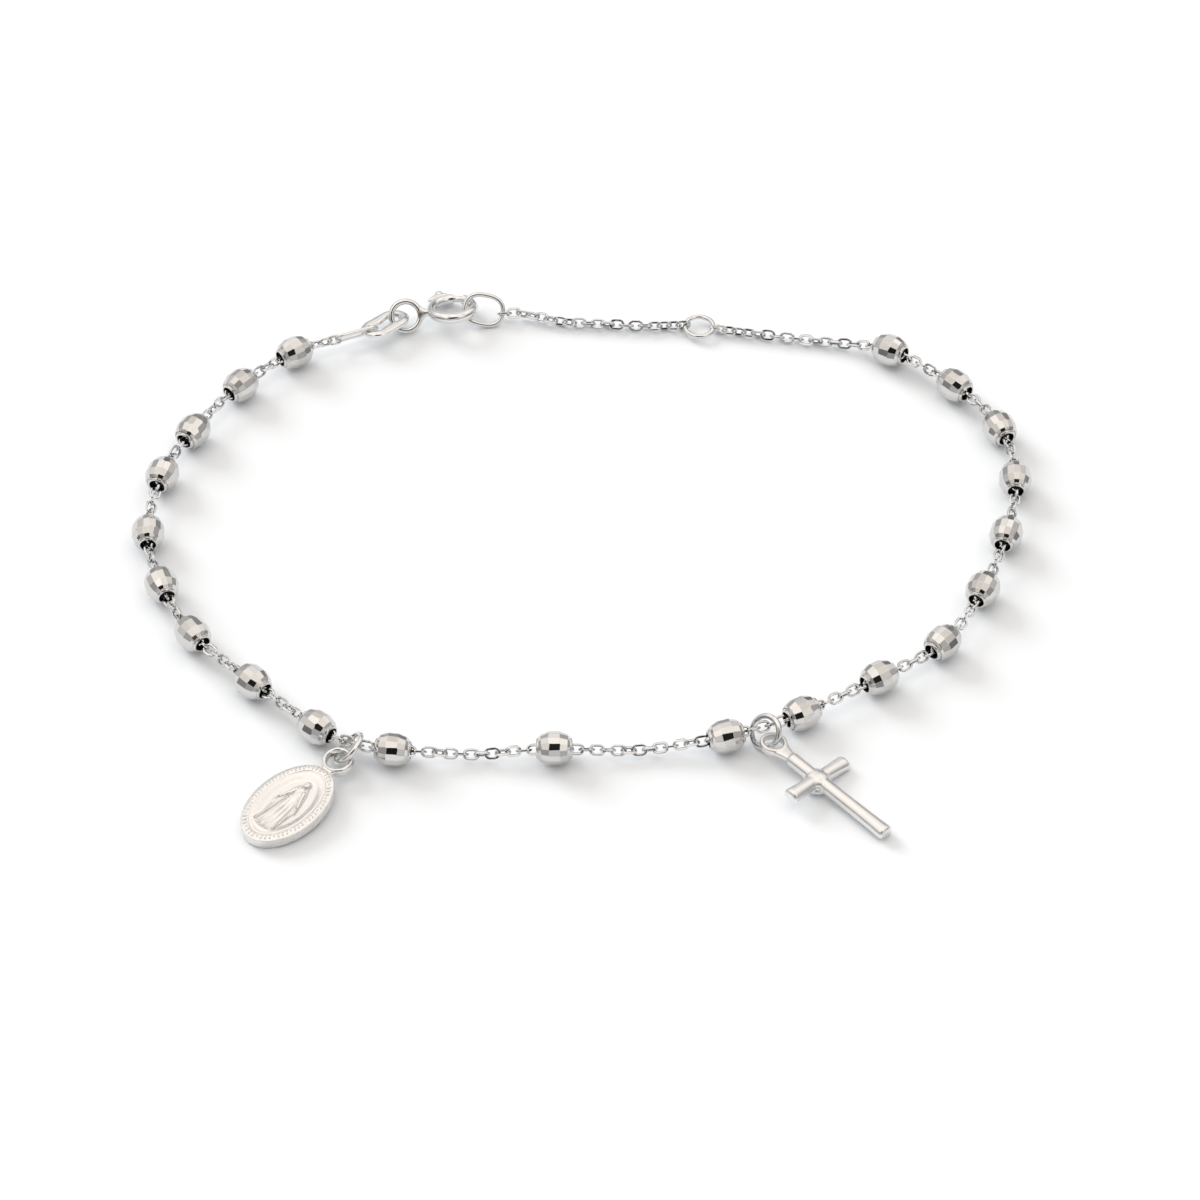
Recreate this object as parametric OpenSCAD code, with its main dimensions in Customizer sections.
/* [Beads] */
// Diameter of a bead over its cut faces
bead_d = 2.85; // [2.6:0.05:3.2]
// Length of a bead along the chain
bead_l = 3.05; // [2.7:0.05:3.4]
// Hole through a bead
bead_bore = 1.5; // [1.45:0.05:1.6]
// Metal thickness of a hollow bead
bead_wall = 0.25; // [0.2:0.05:0.4]
// Number of cut faces round a bead
bead_faces = 16; // [12:2:20]

/* [Chain] */
// Outer length of a chain link
link_l = 1.44; // [1.36:0.02:1.6]
// Outer width of a chain link
link_w = 1.05; // [1:0.01:1.1]
// Wire thickness of a chain link
link_wire = 0.22; // [0.18:0.01:0.24]
// Free play between two linked links
link_play = 0.12; // [0.1:0.01:0.16]

/* [Extension] */
// Outer diameter of the size ring
size_ring_d = 3; // [2.6:0.1:3.4]
// Wire of the size ring
size_ring_wire = 0.38; // [0.34:0.01:0.4]
// Outer length of the end ring
end_ring_l = 3.9; // [3.7:0.1:4.4]
// Outer width of the end ring
end_ring_w = 3.1; // [3:0.1:3.4]
// Wire of the end ring
end_ring_wire = 0.38; // [0.34:0.01:0.4]

/* [Clasp] */
// Outer diameter of the spring ring
clasp_d = 4.75; // [4.6:0.05:5.2]
// Outer thickness of the spring ring's tube
clasp_tube = 0.95; // [0.9:0.01:1]
// Wall of the tube round the bolt
clasp_wall = 0.12; // [0.1:0.01:0.14]
// Running clearance between bolt and tube
bolt_clearance = 0.06; // [0.04:0.01:0.08]
// Opening between the two ends of the tube, in degrees
clasp_gap = 31; // [28:1:34]
// Diameter of the bolt's thumb knob
knob_d = 0.8; // [0.7:0.05:0.9]
// Outer diameter of the soldered loop
loop_d = 3.2; // [3.1:0.05:3.4]
// Wire of the soldered loop
loop_wire = 0.56; // [0.5:0.02:0.6]
// Length of the stalk between the spring ring and its loop
stalk_l = 0.35; // [0.3:0.05:0.6]

/* [Tag] */
// Outer length of the oval tag
tag_l = 4.8; // [4.6:0.1:5.4]
// Outer width of the oval tag
tag_w = 3; // [2.9:0.05:3.2]
// Width of the tag's band
tag_band = 0.92; // [0.8:0.02:0.96]
// Thickness of the tag's band
tag_t = 0.42; // [0.36:0.02:0.46]
// Outer length of the wire link between tag and chain
tag_link_l = 4.2; // [4:0.1:4.6]
// Outer width of the wire link between tag and chain
tag_link_w = 1.5; // [1.46:0.02:1.6]
// Wire of the link between tag and chain
tag_link_wire = 0.34; // [0.3:0.02:0.36]

/* [Medal] */
// Length of the oval medal
medal_l = 9.2; // [8.8:0.1:10.6]
// Width of the oval medal
medal_w = 6; // [5.6:0.1:6.6]
// Thickness of the medal
medal_t = 1; // [0.9:0.05:1.3]
// Width of the medal's raised rim
medal_rim = 0.8; // [0.7:0.05:1]
// Depth of the medal's sunk field
medal_field = 0.25; // [0.2:0.05:0.35]
// How far the medal's back stands below its cast eye
medal_back_step = 0.06; // [0.04:0.01:0.1]
// Outer diameter of the medal's cast eye
medal_eye_d = 2.75; // [2.6:0.05:2.9]
// Wall of the medal's cast eye
medal_eye_wall = 0.32; // [0.28:0.02:0.34]
// Height of the medal's cast eye
medal_eye_h = 0.92; // [0.8:0.02:0.94]
// Outer diameter of the jump ring that carries the medal
medal_ring_d = 3.5; // [3.48:0.02:3.6]
// Wire of the jump ring that carries the medal
medal_ring_wire = 0.46; // [0.4:0.02:0.48]

/* [Cross] */
// Length of the cross
cross_l = 11.1; // [10.5:0.1:12.5]
// Span of the cross's arms
cross_w = 6.8; // [6.2:0.1:7.6]
// Distance from the top of the cross to the middle of its arms
cross_arm_at = 3.2; // [3:0.1:3.6]
// Width of an arm next to the crossing
cross_arm_w = 1.2; // [1:0.05:1.4]
// Extra width of an arm at its end
cross_flare = 0.3; // [0.1:0.05:0.5]
// Height of the cross's upright side walls
cross_side = 0.5; // [0.4:0.05:0.7]
// Rise of the rounded front above the side walls
cross_crown = 0.4; // [0.3:0.05:0.5]
// Extra rise of the swelling over the crossing
cross_swell = 0.1; // [0:0.02:0.2]
// Height of the round boss behind the crossing
cross_boss = 0.45; // [0.35:0.05:0.5]
// Length of the neck between the cross's eye and its top
cross_neck = 0.85; // [0.7:0.05:1]
// Outer diameter of the cross's cast eye
cross_eye_d = 2.4; // [2.3:0.05:2.5]
// Wall of the cross's cast eye
cross_eye_wall = 0.36; // [0.32:0.02:0.38]
// Height of the cross's cast eye
cross_eye_h = 0.7; // [0.6:0.02:0.72]
// Outer diameter of the jump ring that carries the cross
cross_ring_d = 3.15; // [3.13:0.01:3.2]
// Wire of the jump ring that carries the cross
cross_ring_wire = 0.42; // [0.38:0.01:0.43]

/* [Hidden] */
bead_count = 21;
// Bead where the two halves of the bead chain meet
middle_bead = 11;
function bead_name(i) = str("bead_", i < 10 ? "0" : "", i);

silver = "#d9d9db";
satin = "#eceae6";
// Faces round a bend and round a wire
bend_faces = 48;
wire_faces = 24;
// Small overlap of two solids that are one piece of metal
solder = 0.1;
// Small height kept between a resting piece and the floor
floor_gap = 0.02;

// Heights of the chain's middle where it lies and where it runs through a resting bead
lie_z = link_w / 2;
bead_z = bead_d / 2 + floor_gap;
link_pitch = link_l - 2 * link_wire - link_play;

// Route of the bead chain: place on the floor and share of the rise from lying to bead height
route = [
    [-26.1, 24.05, 1], [-30.7, 19.85, 1], [-34.6, 14.05, 1], [-37, 8.65, 1], [-37.8, 1.55, 1],
    [-36.2, -4.65, 1], [-33.2, -10.35, 1], [-27.8, -15.85, 1], [-22.2, -20.95, 1],
    [-20.2, -22.15, 0.97], [-18.1, -22.95, 0.98], [-15.8, -23.45, 1],
    [-13.2, -23.45, 0.8], [-9.1, -23.35, 0.3], [-5, -23.25, 0.72], [-2.4, -23.25, 1],
    [0.2, -23.15, 0.72], [4.8, -22.85, 0.3], [9.3, -22.35, 0.72], [11.9, -21.95, 1],
    [14, -21.25, 1.11], [16.1, -20.45, 1.04], [18.3, -19.35, 1],
    [24.9, -15.35, 1], [30.5, -11.35, 1], [34.2, -5.15, 1], [36.6, 1.45, 1], [37.8, 8.05, 1],
    [36.8, 14.45, 1], [33.1, 19.85, 1], [27.5, 24.35, 1],
    [24.8, 25.65, 0.3], [20.4, 26.55, 0], [15.9, 27.35, 0]
];
// Route rows that carry a bead, in the order of the beads
bead_rows = [0, 1, 2, 3, 4, 5, 6, 7, 8, 11, 15, 19, 22, 23, 24, 25, 26, 27, 28, 29, 30];
// Route rows just before the two places where a jump ring hangs
medal_row = 9;
cross_row = 20;
// Route of the extension chain between its two rings
extension_route = [[-5.6, 29.85, 0.2], [-2.2, 29.05, 0], [2.3, 28.65, 0], [5.9, 28.45, 0]];
size_ring_at = [10.4, 28.35];

// Turn of the first link of the bead chain and of the extension about its own run
bead_chain_start_turn = -57;
extension_start_turn = 87;

// Poses of the linked pieces, as turns about X, then Y, then Z
clasp_at = [-12, 29.95, 1.26];
clasp_turn = [-16, 0, 13];
tag_turn = [-12, 4, 43];
tag_link_turn = [104, -1, 21];
end_ring_turn = [39, 12, -4];
medal_ring_turn = [38, -34, -74];
medal_yaw = 48;
cross_ring_turn = [48, -13, -36];
cross_yaw = 134.2;
cross_roll = 8.5;

// Turn of a point in the same order as rotate()
function about_x(p, a) = [p[0], p[1] * cos(a) - p[2] * sin(a), p[1] * sin(a) + p[2] * cos(a)];
function about_y(p, a) = [p[0] * cos(a) + p[2] * sin(a), p[1], p[2] * cos(a) - p[0] * sin(a)];
function about_z(p, a) = [p[0] * cos(a) - p[1] * sin(a), p[0] * sin(a) + p[1] * cos(a), p[2]];
function turned(p, turn) = about_z(about_y(about_x(p, turn[0]), turn[1]), turn[2]);
// Height of a flat ring's middle when its lowest wire rests on the floor
function ring_rise(mean_r, wire, turn) =
    mean_r * sqrt(1 - pow(turned([0, 0, 1], turn)[2], 2)) + wire / 2 + floor_gap;

// Smooth curve through a list of points
function curve(p, i, t) =
    let (a = p[max(i - 1, 0)], b = p[i], c = p[i + 1], d = p[min(i + 2, len(p) - 1)])
    (2 * b + (c - a) * t + (2 * a - 5 * b + 4 * c - d) * t * t + (3 * b - a - 3 * c + d) * t * t * t) / 2;
curve_steps = 10;
function curve_points(p) = [
    for (i = [0:len(p) - 2], j = [0:curve_steps - 1]) curve(p, i, j / curve_steps),
    p[len(p) - 1]
];
// Distance along the curve at each of its points
function stations(q) = [
    for (i = 0, s = 0; i < len(q); s = s + (i < len(q) - 1 ? norm(q[i + 1] - q[i]) : 0), i = i + 1) s
];
// Three look-up tables from the distance to X, Y and Z
function tables(q) = let (s = stations(q)) [for (k = [0:2]) [for (i = [0:len(q) - 1]) [s[i], q[i][k]]]];
function at(t, s) = [for (k = [0:2]) lookup(s, t[k])];
function reach(t) = t[0][len(t[0]) - 1][0];
function heading(t, s, step) = let (d = at(t, s + step) - at(t, s - step)) d / norm(d);
function lifted(rows) = [for (r = rows) [r[0], r[1], lie_z + r[2] * (bead_z - lie_z)]];

// Clasp, loop, tag and tag link, each hung in the one before
clasp_mean_r = (clasp_d - clasp_tube) / 2;
loop_inner_r = loop_d / 2 - loop_wire;
loop_mean_r = (loop_d - loop_wire) / 2;
loop_x = clasp_d / 2 + stalk_l + loop_d / 2;
// Twist of the loop against the spring ring
loop_twist = 59;
loop_at = clasp_at + turned([-loop_x, 0, 0], clasp_turn);
tag_end_x = (tag_l - tag_band) / 2;
tag_hang = loop_inner_r * [0.1, -0.51, -0.02];
tag_at = loop_at - turned([tag_end_x, 0, 0] + tag_hang, tag_turn);
tag_link_end_x = (tag_link_l - tag_link_wire) / 2;
tag_link_hang = [-(tag_band + tag_link_wire) / 2 - 2 * link_play, 0.17, 0.3];
tag_link_at = tag_at - turned([tag_end_x, 0, 0], tag_turn)
    - turned([tag_link_end_x, 0, 0] + tag_link_hang, tag_link_turn);
chain_start = tag_link_at - turned([tag_link_end_x, 0, 0], tag_link_turn);

// End ring, hooked on the spring ring's tube
hook_angle = -14;
hook_at = clasp_at + turned(clasp_mean_r * [cos(hook_angle), sin(hook_angle), 0], clasp_turn);
end_ring_mean_x = (end_ring_l - end_ring_wire) / 2;
end_ring_hang = [clasp_tube / 2 + end_ring_wire / 2 + link_play, 0, 0.03];
end_ring_at = hook_at + turned([end_ring_mean_x, 0, 0] - end_ring_hang, end_ring_turn);
extension_start = end_ring_at + turned([end_ring_mean_x, 0, 0], end_ring_turn);

// Size ring, held up by the links at its two ends
size_ring_mean_r = (size_ring_d - size_ring_wire) / 2;
size_ring_centre = [size_ring_at[0], size_ring_at[1], lie_z];
size_ring_yaw = atan2(
    route[len(route) - 1][1] - size_ring_at[1], route[len(route) - 1][0] - size_ring_at[0]
);
size_eye_x = size_ring_d / 2 + link_l / 2 - link_wire - solder;
size_eye_at = size_ring_centre + about_z([size_eye_x, 0, 0], size_ring_yaw);
extension_end = size_ring_centre - about_z([size_ring_mean_r, 0, 0], size_ring_yaw);

// Distance from a ring's wire to the middle of a link that holds it
function hold(wire) = link_l / 2 - link_wire - 1.2 * link_play - wire / 2;
bead_points = concat([chain_start], lifted(route), [size_eye_at]);
bead_table = tables(curve_points(bead_points));
bead_line = stations(curve_points(bead_points));
// Distance along the chain of a bead; the start of the chain adds one row
function bead_station(i) = bead_line[(bead_rows[i - 1] + 1) * curve_steps];
first_link = hold(tag_link_wire);
bead_links = ceil((reach(bead_table) - first_link) / link_pitch);
bead_pitch = (reach(bead_table) - first_link) / bead_links;
left_links = round((bead_station(middle_bead) - first_link) / bead_pitch);
extension_points = concat([extension_start], lifted(extension_route), [extension_end]);
extension_table = tables(curve_points(extension_points));
extension_first = hold(end_ring_wire);
extension_run = reach(extension_table) - extension_first - hold(size_ring_wire);
extension_links = ceil(extension_run / link_pitch) + 1;
extension_pitch = extension_run / (extension_links - 1);

// Medal and its jump ring, hung on the chain at the medal's row
medal_ring_mean_r = (medal_ring_d - medal_ring_wire) / 2;
medal_ring_inner_r = medal_ring_d / 2 - medal_ring_wire;
medal_spot = curve(bead_points, medal_row + 1, 0.5);
// Where the chain and the eye's wall pass through the ring, as shares of its inner radius
medal_crossing = [-0.32, 0.41, -0.05];
medal_hold = [0.15, -0.29, -0.18];
medal_ring_flat = medal_spot - turned(medal_ring_inner_r * medal_crossing, medal_ring_turn);
medal_ring_at = [
    medal_ring_flat[0], medal_ring_flat[1],
    ring_rise(medal_ring_mean_r, medal_ring_wire, medal_ring_turn)
];
medal_eye_mean_r = (medal_eye_d - medal_eye_wall) / 2;
medal_grip = medal_ring_at + turned(medal_ring_inner_r * medal_hold, medal_ring_turn);
medal_eye_at = medal_grip - about_z([medal_eye_mean_r, 0, 0], medal_yaw);
medal_reach = medal_l + medal_eye_d / 2;
medal_base_z = -medal_eye_h / 2 - medal_back_step;
medal_tilt = asin((medal_eye_at[2] + medal_base_z - floor_gap) / medal_reach);

// Cross and its jump ring, hung on the chain at the cross's row
cross_ring_mean_r = (cross_ring_d - cross_ring_wire) / 2;
cross_ring_inner_r = cross_ring_d / 2 - cross_ring_wire;
cross_spot = curve(bead_points, cross_row + 1, 0.5);
cross_crossing = [-0.25, 0.3, 0];
cross_hold = [0.13, -0.4, 0.11];
cross_ring_flat = cross_spot - turned(cross_ring_inner_r * cross_crossing, cross_ring_turn);
cross_ring_at = [
    cross_ring_flat[0], cross_ring_flat[1],
    ring_rise(cross_ring_mean_r, cross_ring_wire, cross_ring_turn)
];
cross_eye_mean_r = (cross_eye_d - cross_eye_wall) / 2;
cross_grip = cross_ring_at + turned(cross_ring_inner_r * cross_hold, cross_ring_turn);
cross_eye_at = cross_grip - about_z([cross_eye_mean_r, 0, 0], cross_yaw);
cross_reach = cross_l + cross_neck + cross_eye_d / 2 - solder;
// Height of the foot's back above the floor
cross_foot_z = 0.26;
cross_tilt = asin((cross_eye_at[2] - cross_eye_h / 2 - cross_foot_z) / cross_reach);

module placed(p, turn) translate(p) rotate(turn) children();

// Round ring and long ring of round wire, flat in XY
module wire_ring(d, wire) {
    rotate_extrude($fn = bend_faces) translate([(d - wire) / 2, 0]) circle(d = wire, $fn = wire_faces);
}
module wire_oval(l, w, wire) {
    for (side = [0, 180]) rotate(side) {
        translate([(l - w) / 2, 0, 0]) rotate(-90)
            rotate_extrude(angle = 180, $fn = bend_faces)
                translate([(w - wire) / 2, 0]) circle(d = wire, $fn = wire_faces);
        translate([0, (w - wire) / 2, 0]) rotate([0, 90, 0])
            cylinder(d = wire, h = l - w, center = true, $fn = wire_faces);
    }
}

// Bead cut in flat faces round five bands, hollow, with a hole along X
// Shares of half its length and half its diameter, with a narrow flat rim round the hole
hole_rim = 0.04;
bead_profile = [
    [-1, bead_bore / bead_d + hole_rim], [-0.68, 0.81], [-0.29, 1],
    [0.29, 1], [0.68, 0.81], [1, bead_bore / bead_d + hole_rim]
];
// Each bead sits this much further round the chain than the one before
bead_roll = 50;
module bead_shell() {
    rows = bead_profile;
    n = bead_faces;
    points = [
        for (r = rows, j = [0:n - 1])
            [r[0] * bead_l, r[1] * bead_d * cos(360 * j / n), r[1] * bead_d * sin(360 * j / n)] / 2
    ];
    sides = [
        for (i = [0:len(rows) - 2], j = [0:n - 1])
            [i * n + j, (i + 1) * n + j, (i + 1) * n + (j + 1) % n, i * n + (j + 1) % n]
    ];
    near = [for (j = [0:n - 1]) j];
    far = [for (j = [0:n - 1]) len(rows) * n - 1 - j];
    polyhedron(points, concat([near, far], sides));
}
module bead(i) {
    s = bead_station(i);
    // The bead rests on the floor along the chord between its two holes, halfway up the chain's bend
    near = at(bead_table, s - bead_l / 2);
    far = at(bead_table, s + bead_l / 2);
    d = (far - near) / norm(far - near);
    middle = (near + 2 * at(bead_table, s) + far) / 4;
    color(silver) placed([middle[0], middle[1], bead_z], [0, -asin(d[2]), atan2(d[1], d[0])])
        rotate([i * bead_roll, 0, 0]) difference() {
            bead_shell();
            rotate([0, 90, 0]) {
                rotate(45) sphere(d = bead_d * cos(180 / bead_faces) - 2 * bead_wall, $fn = 64);
                cylinder(d = bead_bore, h = bead_l * 2, center = true, $fn = bend_faces);
            }
        }
}

// Links set out along a curve, each a quarter turn on from the one before
// The twist eases out over this many links from an end
ease_links = 8;
function ease(k) = max(0, 1 - k / ease_links);
module chain(table, first, pitch, links, from, to, start_turn, end_turn) {
    for (i = [from:to]) {
        s = first + i * pitch;
        d = heading(table, s, link_l / 4);
        roll = 45 + 90 * (i % 2) + start_turn * ease(i) + end_turn * ease(links - 1 - i);
        placed(at(table, s), [0, -asin(d[2]), atan2(d[1], d[0])])
            rotate([roll, 0, 0]) wire_oval(link_l, link_w, link_wire);
    }
}
// The first link lies across the upright end of the tag link
module bead_chain_left() {
    color(silver) chain(
        bead_table, first_link, bead_pitch, bead_links, 0, left_links - 1, bead_chain_start_turn, 0
    );
}
// The last link lies flat, across the upright eye of the size ring
module bead_chain_right() {
    last = bead_links - 1;
    color(silver) chain(
        bead_table, first_link, bead_pitch, bead_links, left_links, last, 0, last % 2 == 0 ? -45 : 45
    );
}
// The first link stands across the leaning end ring and the last one across the flat size ring
module extension_chain() {
    last = extension_links - 1;
    color(silver) chain(
        extension_table, extension_first, extension_pitch, extension_links, 0, last,
        extension_start_turn, last % 2 == 0 ? 45 : -45
    );
}
module size_ring() {
    color(silver) placed(size_ring_centre, [0, 0, size_ring_yaw]) {
        wire_ring(size_ring_d, size_ring_wire);
        translate([size_eye_x, 0, 0]) rotate([90, 0, 0]) wire_oval(link_l, link_w, link_wire);
    }
}
module end_ring() {
    color(silver) placed(end_ring_at, end_ring_turn) wire_oval(end_ring_l, end_ring_w, end_ring_wire);
}

// Angles round the spring ring, from its own X axis
gap_from = 46;
// The closed bolt's tip enters the far end of the tube by this much
bolt_entry = 5;
bolt_tip = gap_from - bolt_entry;
gap_to = gap_from + clasp_gap;
knob_at = gap_to + 26;
bolt_tail = knob_at + 9;
bolt_travel = gap_to - bolt_tip;
bore_d = clasp_tube - 2 * clasp_wall;
bolt_d = bore_d - 2 * bolt_clearance;
// Neck that carries the knob through the slot, and how far out the knob's middle stands
neck_d = 0.34;
neck_half = asin((neck_d / 2 + bolt_clearance) / clasp_mean_r);
knob_out = 0.6;
knob_r = clasp_d / 2 + knob_out;
// Part of a torus round the clasp's middle
module arc(from, to, d) {
    rotate(from) rotate_extrude(angle = to - from, $fn = 2 * bend_faces)
        translate([clasp_mean_r, 0]) circle(d = d, $fn = wire_faces);
}
module clasp_ring() {
    color(silver) placed(clasp_at, clasp_turn) {
        difference() {
            arc(gap_to, 360 + gap_from, clasp_tube);
            arc(bolt_tip - 1, gap_from + 1, bore_d);
            arc(gap_to - 1, bolt_tail + bolt_travel + 2, bore_d);
            // Slot for the neck of the knob
            rotate(knob_at - neck_half)
                rotate_extrude(angle = bolt_travel + 2 * neck_half, $fn = 2 * bend_faces)
                    translate([clasp_mean_r, -neck_d / 2 - bolt_clearance])
                        square([clasp_tube, neck_d + 2 * bolt_clearance]);
        }
        translate([-clasp_d / 2 - stalk_l - solder, 0, 0]) rotate([0, 90, 0])
            cylinder(d = loop_wire, h = stalk_l + 2 * solder + clasp_wall, $fn = wire_faces);
        translate([-loop_x, 0, 0]) rotate([loop_twist, 0, 0]) wire_ring(loop_d, loop_wire);
    }
}
module clasp_bolt() {
    color(silver) placed(clasp_at, clasp_turn) {
        arc(bolt_tip, bolt_tail, bolt_d);
        rotate(knob_at) {
            translate([clasp_mean_r, 0, 0]) rotate([0, 90, 0])
                cylinder(d = neck_d, h = knob_r - clasp_mean_r, $fn = wire_faces);
            translate([knob_r, 0, 0]) sphere(d = knob_d, $fn = bend_faces);
        }
    }
}

// Domed band of the tag, with its flat side at half its thickness below the middle
module tag_section() {
    dome_r = (pow(tag_band / 2, 2) + pow(tag_t / 2, 2)) / tag_t;
    translate([0, -tag_t / 2]) {
        intersection() {
            translate([0, tag_t - dome_r]) circle(r = dome_r, $fn = 2 * bend_faces);
            translate([-tag_band / 2, tag_t / 2]) square([tag_band, tag_t]);
        }
        translate([-tag_band / 2, 0]) square([tag_band, tag_t / 2 + 0.01]);
    }
}
module clasp_tag() {
    color(silver) placed(tag_at, tag_turn) for (side = [0, 180]) rotate(side) {
        translate([(tag_l - tag_w) / 2, 0, 0]) rotate(-90)
            rotate_extrude(angle = 180, $fn = bend_faces)
                translate([(tag_w - tag_band) / 2, 0]) tag_section();
        translate([(tag_w - tag_l) / 2, (tag_w - tag_band) / 2, 0]) rotate([90, 0, 90])
            linear_extrude(tag_l - tag_w) tag_section();
    }
}
module tag_link() {
    color(silver) placed(tag_link_at, tag_link_turn) wire_oval(tag_link_l, tag_link_w, tag_link_wire);
}

// Oval of four arcs, moved inwards by inset
tip_share = 0.34;
module oval(l, w, inset) {
    tip_r = w * tip_share;
    tip_x = l / 2 - tip_r;
    side_r = (pow(tip_x, 2) + pow(w / 2, 2) - pow(tip_r, 2)) / (w - 2 * tip_r);
    for (x = [-tip_x, tip_x]) translate([x, 0]) circle(r = tip_r - inset, $fn = bend_faces);
    intersection() {
        translate([0, side_r - w / 2]) circle(r = side_r - inset, $fn = 4 * bend_faces);
        translate([0, w / 2 - side_r]) circle(r = side_r - inset, $fn = 4 * bend_faces);
        square([2 * tip_x * (side_r - inset) / (side_r - tip_r), w], center = true);
    }
}
// Eye with an upright hole, centred on its own middle
module cast_eye(d, wall, h) {
    difference() {
        cylinder(d = d, h = h, center = true, $fn = 2 * bend_faces);
        cylinder(d = d - 2 * wall, h = 2 * h, center = true, $fn = 2 * bend_faces);
    }
}
// Low rounded form of the relief: a ball sunk so that only its top shows
module swell(p, r, rise) {
    translate([p[0], p[1], rise - r]) sphere(r = r, $fn = 32);
}
// Standing robed and veiled figure with lowered open hands, as shares of the field's half length
module figure(half, rise) {
    intersection() {
        translate([0, 0, rise]) cube([4 * half, 4 * half, 2 * rise + 0.1], center = true);
        union() {
            // Robe from the shoulders to the hem
            hull() {
                swell([0.42 * half, 0], 0.16 * half, rise);
                swell([0, 0], 0.22 * half, rise);
                for (side = [-1, 1]) swell([-0.68 * half, side * 0.14 * half], 0.14 * half, rise * 0.8);
            }
            for (side = [-1, 1]) {
                // Fall of the cloak from the shoulder past the hand
                hull() {
                    swell([0.44 * half, side * 0.1 * half], 0.1 * half, rise * 0.8);
                    swell([-0.3 * half, side * 0.3 * half], 0.07 * half, rise * 0.5);
                    swell([-0.55 * half, side * 0.22 * half], 0.07 * half, rise * 0.5);
                }
                // Sleeve and open hand
                hull() {
                    swell([0.36 * half, side * 0.14 * half], 0.08 * half, rise);
                    swell([0.02 * half, side * 0.33 * half], 0.08 * half, rise * 0.9);
                }
            }
            // Veil and head
            swell([0.6 * half, 0], 0.17 * half, rise * 0.85);
            swell([0.62 * half, 0], 0.11 * half, rise * 1.2);
        }
    }
}
// The medal runs back along X from its eye, with its face up
module medal() {
    middle_x = -medal_reach + medal_l / 2;
    field_l = medal_l - 2 * medal_rim;
    color(satin) placed(medal_eye_at, [0, -medal_tilt, medal_yaw]) {
        cast_eye(medal_eye_d, medal_eye_wall, medal_eye_h);
        translate([middle_x, 0, medal_base_z]) {
            difference() {
                linear_extrude(medal_t) oval(medal_l, medal_w, 0);
                translate([0, 0, medal_t - medal_field])
                    linear_extrude(medal_t) oval(medal_l, medal_w, medal_rim);
            }
            translate([0, 0, medal_t - medal_field]) figure(field_l / 2, medal_field * 1.1);
        }
        // Neck between the eye and the oval
        translate([-medal_eye_d / 2, 0, 0])
            cube([2 * (medal_eye_wall - solder), medal_eye_wall * 4, medal_eye_h], center = true);
    }
}
module medal_ring() {
    color(silver) placed(medal_ring_at, medal_ring_turn) wire_ring(medal_ring_d, medal_ring_wire);
}

// Cross section of an arm: side walls under a rounded front
arc_steps = 12;
module arm_section(w) {
    crown_r = (pow(w / 2, 2) + pow(cross_crown, 2)) / (2 * cross_crown);
    half_angle = asin(w / 2 / crown_r);
    polygon(concat(
        [[w / 2, 0]],
        [
            for (i = [0:arc_steps])
                let (a = half_angle * (1 - 2 * i / arc_steps))
                    [crown_r * sin(a), cross_side + cross_crown - crown_r * (1 - cos(a))]
        ],
        [[-w / 2, 0]]
    ));
}
slice = 0.01;
// Bevel of an arm's end corners, and the share of the arm where its flare begins
bevel = 0.2;
flare_from = 0.55;
module arm_slice(x, w) {
    translate([x, 0, 0]) rotate([90, 0, 90]) linear_extrude(slice) arm_section(w);
}
// One arm from the crossing out, wider towards its end and bevelled at its corners
module arm(l) {
    end_w = cross_arm_w + cross_flare;
    hull() {
        arm_slice(0, cross_arm_w);
        arm_slice(l * flare_from, cross_arm_w);
        arm_slice(l - bevel, end_w);
        arm_slice(l - slice, end_w - 2 * bevel);
    }
}
// The cross runs back along X from its eye, with its rounded front up
module cross() {
    top_x = solder - cross_eye_d / 2 - cross_neck;
    base_z = -cross_eye_h / 2;
    // Where the neck's sides leave the eye
    neck_angle = 55;
    neck_from = cross_eye_d / 2 * [cos(neck_angle), sin(neck_angle)];
    // A ball whose cap forms the boss behind the crossing
    boss_w = 1.5 * cross_arm_w;
    swell_r = 1.1 * cross_arm_w;
    boss_r = (pow(boss_w / 2, 2) + pow(cross_boss, 2)) / (2 * cross_boss);
    color(silver) placed(cross_eye_at, [cross_roll, -cross_tilt, cross_yaw]) {
        difference() {
            translate([0, 0, base_z]) linear_extrude(cross_eye_h) polygon([
                -neck_from, [top_x - solder, -cross_arm_w / 2],
                [top_x - solder, cross_arm_w / 2], [-neck_from[0], neck_from[1]]
            ]);
            cylinder(d = cross_eye_d - cross_eye_wall, h = 2 * cross_eye_h, center = true);
        }
        cast_eye(cross_eye_d, cross_eye_wall, cross_eye_h);
        translate([top_x - cross_arm_at, 0, base_z]) {
            arm(cross_arm_at);
            rotate(180) arm(cross_l - cross_arm_at);
            for (side = [90, -90]) rotate(side) arm(cross_w / 2);
            // Swelling over the crossing
            intersection() {
                translate([0, 0, cross_side + cross_crown + cross_swell - swell_r])
                    sphere(r = swell_r, $fn = bend_faces);
                cylinder(r = swell_r, h = 2 * (cross_side + cross_crown), $fn = bend_faces);
            }
            intersection() {
                translate([0, 0, boss_r - cross_boss]) sphere(r = boss_r, $fn = bend_faces);
                cylinder(d = boss_w, h = 2 * cross_boss, center = true, $fn = bend_faces);
            }
        }
    }
}
module cross_ring() {
    color(silver) placed(cross_ring_at, cross_ring_turn) wire_ring(cross_ring_d, cross_ring_wire);
}

for (i = [1:bead_count]) bead(i);
bead_chain_left();
bead_chain_right();
size_ring();
extension_chain();
end_ring();
clasp_ring();
clasp_bolt();
clasp_tag();
tag_link();
medal();
medal_ring();
cross();
cross_ring();
